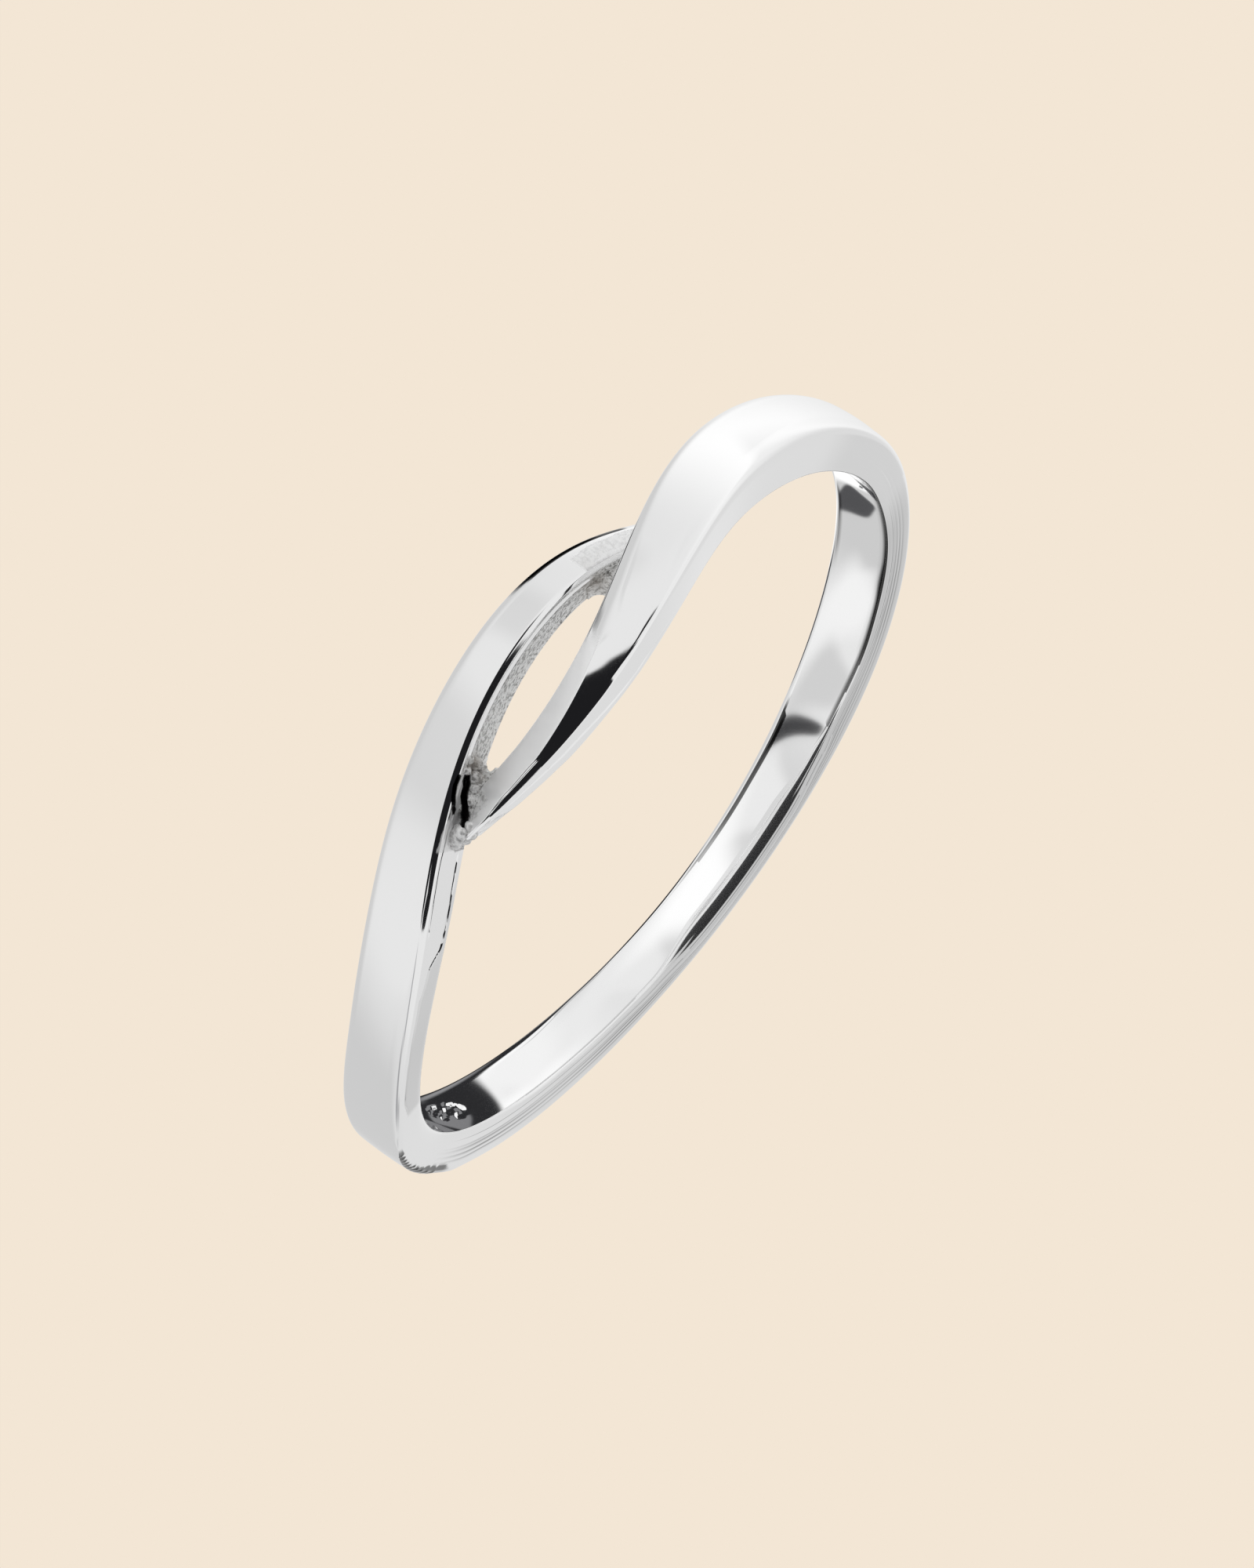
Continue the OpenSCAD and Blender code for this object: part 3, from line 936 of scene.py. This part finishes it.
def loop_ring():
    """The whole ring: the two strands and the webs joined at the front, and the back."""
    step = FRONT_STEP * 1
    right_turns = np.linspace(WIRE_START, FRONT_END, round((FRONT_END - WIRE_START) / step) + 1)
    left_turns = np.linspace(360 - FRONT_END, WIRE_END, len(right_turns))
    back_turns = np.linspace(FRONT_END, 360 - FRONT_END, round(240 / BACK_STEP) + 1)
    close = np.arange(*CLOSE_TURNS, BACK_STEP / CLOSENESS)
    far = ~within(back_turns, CLOSE_TURNS[0] - 0.1, CLOSE_TURNS[1] + 0.1)
    back_turns = np.sort(np.concatenate([back_turns[far], close]))
    right = strand("right", right_turns, INNER_STEP)
    left = strand("left", left_turns, 0)
    beads = [bead(i, *sizes) for i, sizes in enumerate(BEADS)]
    left_web = web("left_web", EYE_LEFT["turn"] - WEB_TURN, EYE_LEFT["turn"], *LEFT_WEB_HEIGHTS)
    right_web = web(
        "right_web", EYE_RIGHT["turn"], EYE_RIGHT["turn"] + WEB_TURN, *RIGHT_WEB_HEIGHTS
    )
    webs = [
        combined(left_web, [eye_corner("left_eye", **EYE_LEFT)], "DIFFERENCE"),
        combined(right_web, [eye_corner("right_eye", **EYE_RIGHT)], "DIFFERENCE"),
    ]
    front = combined(right, [left] + webs + beads, "UNION")
    front = combined(front, [slot(i, *sizes) for i, sizes in enumerate(SLOTS)], "DIFFERENCE")
    whole = welded(front, strand("back", back_turns, 0))
    co = np.zeros(len(whole.vertices) * 3)
    whole.vertices.foreach_get("co", co)
    co = co.reshape(-1, 3)
    for amount in (cast_skin, tarnish, dulled, blackening):
        attribute = whole.attributes.new(amount.__name__, "FLOAT", "POINT")
        attribute.data.foreach_set("value", amount(co))
    whole.vertices.foreach_set("co", to_row(co).ravel())
    whole.update()
    whole.shade_smooth()
    whole.set_sharp_from_angle(angle=math.radians(SHARP_ANGLE))
    piece = bpy.data.objects.new("loop_ring_silver", whole)
    bpy.context.scene.collection.objects.link(piece)
    whole.materials.clear()
    whole.materials.append(polished_silver())
    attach(piece, "root")
    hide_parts("band")
    return piece


# The camera, in the ring frame: its place round the ring and how it is rolled
CAMERA_AZIMUTH = 5.79
CAMERA_ELEVATION = 17.70
CAMERA_ROLL = 124.54
CAMERA_DISTANCE = 300
CAMERA_ASIDE = -0.117
CAMERA_UP = 0.014
# Focal length in pixels of the 2000-pixel side, and the sensor's long side in millimetres
FOCAL_PIXELS = 17290
FRAME_HEIGHT = 2000
SENSOR = 36.0


def direction(azimuth, elevation):
    """Unit vector at an azimuth counted from -Y towards +X, and an elevation, in degrees."""
    a, e = math.radians(azimuth), math.radians(elevation)
    return np.array([math.sin(a) * math.cos(e), -math.cos(a) * math.cos(e), math.sin(e)])


def camera():
    """The camera at the photo's angle, rolled as the photo's was."""
    back = direction(CAMERA_AZIMUTH, CAMERA_ELEVATION)
    level = direction(CAMERA_AZIMUTH + 90, 0)
    up = np.cross(back, level)
    place = back * CAMERA_DISTANCE + level * CAMERA_ASIDE + up * CAMERA_UP
    r = math.radians(CAMERA_ROLL)
    rolled = [math.cos(r) * level + math.sin(r) * up, -math.sin(r) * level + math.cos(r) * up, back]
    data = bpy.data.cameras.new("camera")
    data.sensor_width = SENSOR
    data.lens = FOCAL_PIXELS / FRAME_HEIGHT * SENSOR
    data.clip_start = 0.05
    data.clip_end = 10
    made = bpy.data.objects.new("camera", data)
    bpy.context.scene.collection.objects.link(made)
    put(made, REST @ np.array(rolled).T, place)
    bpy.context.scene.camera = made


# Panels of the studio tent, in the ring frame: where each is centred, half its width and
# height in degrees, how soft its edge is, and its grey. Later panels lie over earlier ones.
TENT_PANELS = [
    # azimuth, elevation, half width, half height, softness, grey
    (-110, -17, 34, 45, 0.6, "#FFFFFF"),
    (-30, -20, 9, 10, 0.5, "#D8D8D8"),
    (26, -18, 20, 34, 0.5, "#D6D6D6"),
    (145, -18, 34, 40, 0.45, "#CACACA"),
    (0, -90, 40, 40, 0.5, "#CDCDCD"),
    (180, 24, 75, 18, 0.5, "#DADADA"),
    (17, 34.4, 44, 20, 0.04, "#1C1C1E"),
    (8, 57, 22.5, 36, 0.05, "#1C1C1E"),
    (74, 62, 5, 10, 0.06, "#1C1C1E"),
    (100, 32, 16, 5, 0.4, "#A8A8AA"),
    (130, 20, 18, 5, 0.4, "#A0A0A2"),
]
TENT_GREY = "#E6E6E6"
# Silver mirrors a little less than all the light, and this makes up for it
TENT_STRENGTH = 1.075
# In metres
TENT_RADIUS = 0.7


def panel_share(tree, place, axes, softness):
    """How much of a panel a place is in: 1 inside and 0 outside its edge, which is where
    (u^4 + v^4)^(1/4) = 1, with u and v the place along the panel's two axes."""
    fourths = []
    for axis in axes:
        part = add(
            tree, "ShaderNodeVectorMath", {0: place, 1: axis}, output=1, operation="DOT_PRODUCT"
        )
        square = add(tree, "ShaderNodeMath", {0: part, 1: part}, operation="MULTIPLY")
        fourths.append(add(tree, "ShaderNodeMath", {0: square, 1: square}, operation="MULTIPLY"))
    total = add(tree, "ShaderNodeMath", {0: fourths[0], 1: fourths[1]}, operation="ADD")
    reach = add(tree, "ShaderNodeMath", {0: total, 1: 0.25}, operation="POWER")
    return add(tree, "ShaderNodeMapRange", {
        "Value": reach, "From Min": 1 + softness, "From Max": 1 - softness,
    }, interpolation_type="SMOOTHSTEP")


def tent_material():
    """Light from a white tent with grey and dark panels: emission by direction from the ring."""
    material, tree = new_material("studio_tent_light")
    place = add(tree, "ShaderNodeTexCoord", output="Object")
    towards = add(tree, "ShaderNodeVectorMath", {0: place}, operation="NORMALIZE")
    colour = linear(TENT_GREY)
    for azimuth, elevation, half_width, half_height, softness, grey in TENT_PANELS:
        middle = direction(azimuth, elevation)
        across = direction(azimuth + 90, 0) / math.sin(math.radians(half_width))
        up = direction(azimuth, elevation + 90) / math.sin(math.radians(half_height))
        inside = panel_share(tree, towards, (across.tolist(), up.tolist()), softness)
        facing = add(
            tree, "ShaderNodeVectorMath", {0: towards, 1: middle.tolist()}, output=1,
            operation="DOT_PRODUCT",
        )
        ahead = add(tree, "ShaderNodeMapRange", {"Value": facing, "From Min": 0.0, "From Max": 0.1})
        share = add(tree, "ShaderNodeMath", {0: inside, 1: ahead}, operation="MULTIPLY")
        colour = add(
            tree, "ShaderNodeMix", {0: share, 6: colour, 7: linear(grey)}, output=2,
            data_type="RGBA",
        )
    light = add(tree, "ShaderNodeEmission", {"Color": colour, "Strength": TENT_STRENGTH})
    add(tree, "ShaderNodeOutputMaterial", {"Surface": light})
    return material


def studio_piece(name, material, unseen_by):
    """Finishes the object just added: its name, its material, and the kinds of rays that
    don't see it."""
    made = bpy.context.object
    made.name = name
    made.data.materials.append(material)
    for rays in unseen_by:
        setattr(made, f"visible_{rays}", False)
    return made


def tent():
    """The studio tent: a sphere round the ring, turned with it, that the camera doesn't see."""
    bpy.ops.mesh.primitive_uv_sphere_add(segments=96, ring_count=48, radius=TENT_RADIUS)
    made = studio_piece("studio_tent", tent_material(), ("camera", "shadow"))
    put(made, REST, (0, 0, 0))
    return made


# Cards under the ring, in the ring frame: only mirrored rays meet them. Each is the place of
# its middle, the angle of its long side, half its length and width, its softness and grey.
# All lie at one height on a clear sheet this many metres wide.
CARDS_HEIGHT = -2
CARDS_SHEET = 0.04
CARDS = [
    # x, y, angle, half length, half width, softness, grey
    (-0.65, 5.6, 59, 2.1, 1.2, 0.3, "#EAEAEA"),
    (1.35, 4.3, -22, 1.8, 0.6, 0.35, "#CFCFCF"),
    (-0.2, 6.3, 8, 1.9, 0.9, 0.5, "#F2F2F2"),
    (-1.8, 2.75, 57, 1.8, 0.5, 0.3, "#E9E9E9"),
    (0.62, 2.1, -62, 1.8, 0.55, 0.3, "#EAEAEA"),
    (-0.75, 1.7, 85, 1.7, 0.75, 0.5, "#FFFFFF"),
    (-7.6, 6.4, 85, 1.9, 0.9, 0.2, "#FFFFFF"),
    (4.2, 8.4, -20, 5.0, 2.2, 0.06, "#2A2A2C"),
    (3.4, 8.8, -20, 1.75, 0.85, 0.1, "#7C7C7E"),
    (6.0, 5.0, -50, 2.0, 0.8, 0.3, "#8E8E90"),
    (-5.45, 6.85, 59, 1.5, 0.75, 0.1, "#505052"),
    (1.08, 3.37, -31, 1.75, 0.18, 0.1, "#343436"),
    (-7.0, 7.1, 90, 0.17, 0.13, 0.3, "#464648"),
    (-2.7, -8.9, -22, 1.5, 0.5, 0.2, "#1C1C1E"),
]


def card_material():
    """Cards of one grey each, clear round them."""
    material, tree = new_material("studio_cards")
    place = add(tree, "ShaderNodeTexCoord", output="Object")
    surface = add(tree, "ShaderNodeBsdfTransparent")
    for x, y, angle, half_length, half_width, softness, grey in CARDS:
        away = add(
            tree, "ShaderNodeVectorMath", {0: place, 1: (x * MM, y * MM, 0)}, operation="SUBTRACT"
        )
        a = math.radians(angle)
        axes = [
            (math.cos(a) / (half_length * MM), math.sin(a) / (half_length * MM), 0),
            (-math.sin(a) / (half_width * MM), math.cos(a) / (half_width * MM), 0),
        ]
        share = panel_share(tree, away, axes, softness)
        light = add(tree, "ShaderNodeEmission", {"Color": linear(grey), "Strength": TENT_STRENGTH})
        surface = add(tree, "ShaderNodeMixShader", {0: share, 1: surface, 2: light})
    add(tree, "ShaderNodeOutputMaterial", {"Surface": surface})
    return material


def cards():
    """A clear sheet under the ring that carries the cards."""
    bpy.ops.mesh.primitive_plane_add(size=CARDS_SHEET)
    made = studio_piece("studio_cards", card_material(), ("camera", "diffuse", "shadow"))
    put(made, REST, (0, 0, CARDS_HEIGHT))
    return made


def plain_light(name, colour, strength):
    """A material that glows evenly."""
    material, tree = new_material(name)
    light = add(tree, "ShaderNodeEmission", {"Color": linear(colour), "Strength": strength})
    add(tree, "ShaderNodeOutputMaterial", {"Surface": light})
    return material


# Radius and depth in millimetres of the fill light under the ring, and its strength
FILL_RADIUS = 60
FILL_DEPTH = 20
FILL_STRENGTH = 1.15


def fill_light():
    """A round white light far under the ring that only lightens what scatters light: the
    frosted skin."""
    bpy.ops.mesh.primitive_circle_add(vertices=48, radius=FILL_RADIUS * MM, fill_type="NGON")
    light = plain_light("studio_fill_light", "#FFFFFF", FILL_STRENGTH)
    made = studio_piece("studio_fill_light", light, ("camera", "glossy", "shadow"))
    made.location = (0, 0, -FILL_DEPTH * MM)
    return made


# Colour of the table top, and its width in metres
FLOOR_COLOUR = "#F3E6D5"
FLOOR_WIDTH = 1.2


def floor():
    """A plain pale table top that the silver neither mirrors nor is tinted by."""
    bpy.ops.mesh.primitive_plane_add(size=FLOOR_WIDTH)
    material = plain_light("pale_table_top", FLOOR_COLOUR, 1.0)
    return studio_piece("table_top", material, ("glossy", "diffuse", "shadow"))


def backdrop():
    """The world beyond the table, in the table's colour."""
    world = bpy.data.worlds.new("backdrop")
    world.use_nodes = True
    background = world.node_tree.nodes["Background"]
    background.inputs["Color"].default_value = linear(FLOOR_COLOUR)
    bpy.context.scene.world = world


camera()
loop_ring()
floor()
tent()
cards()
fill_light()
backdrop()
bpy.context.scene.view_settings.view_transform = "Standard"
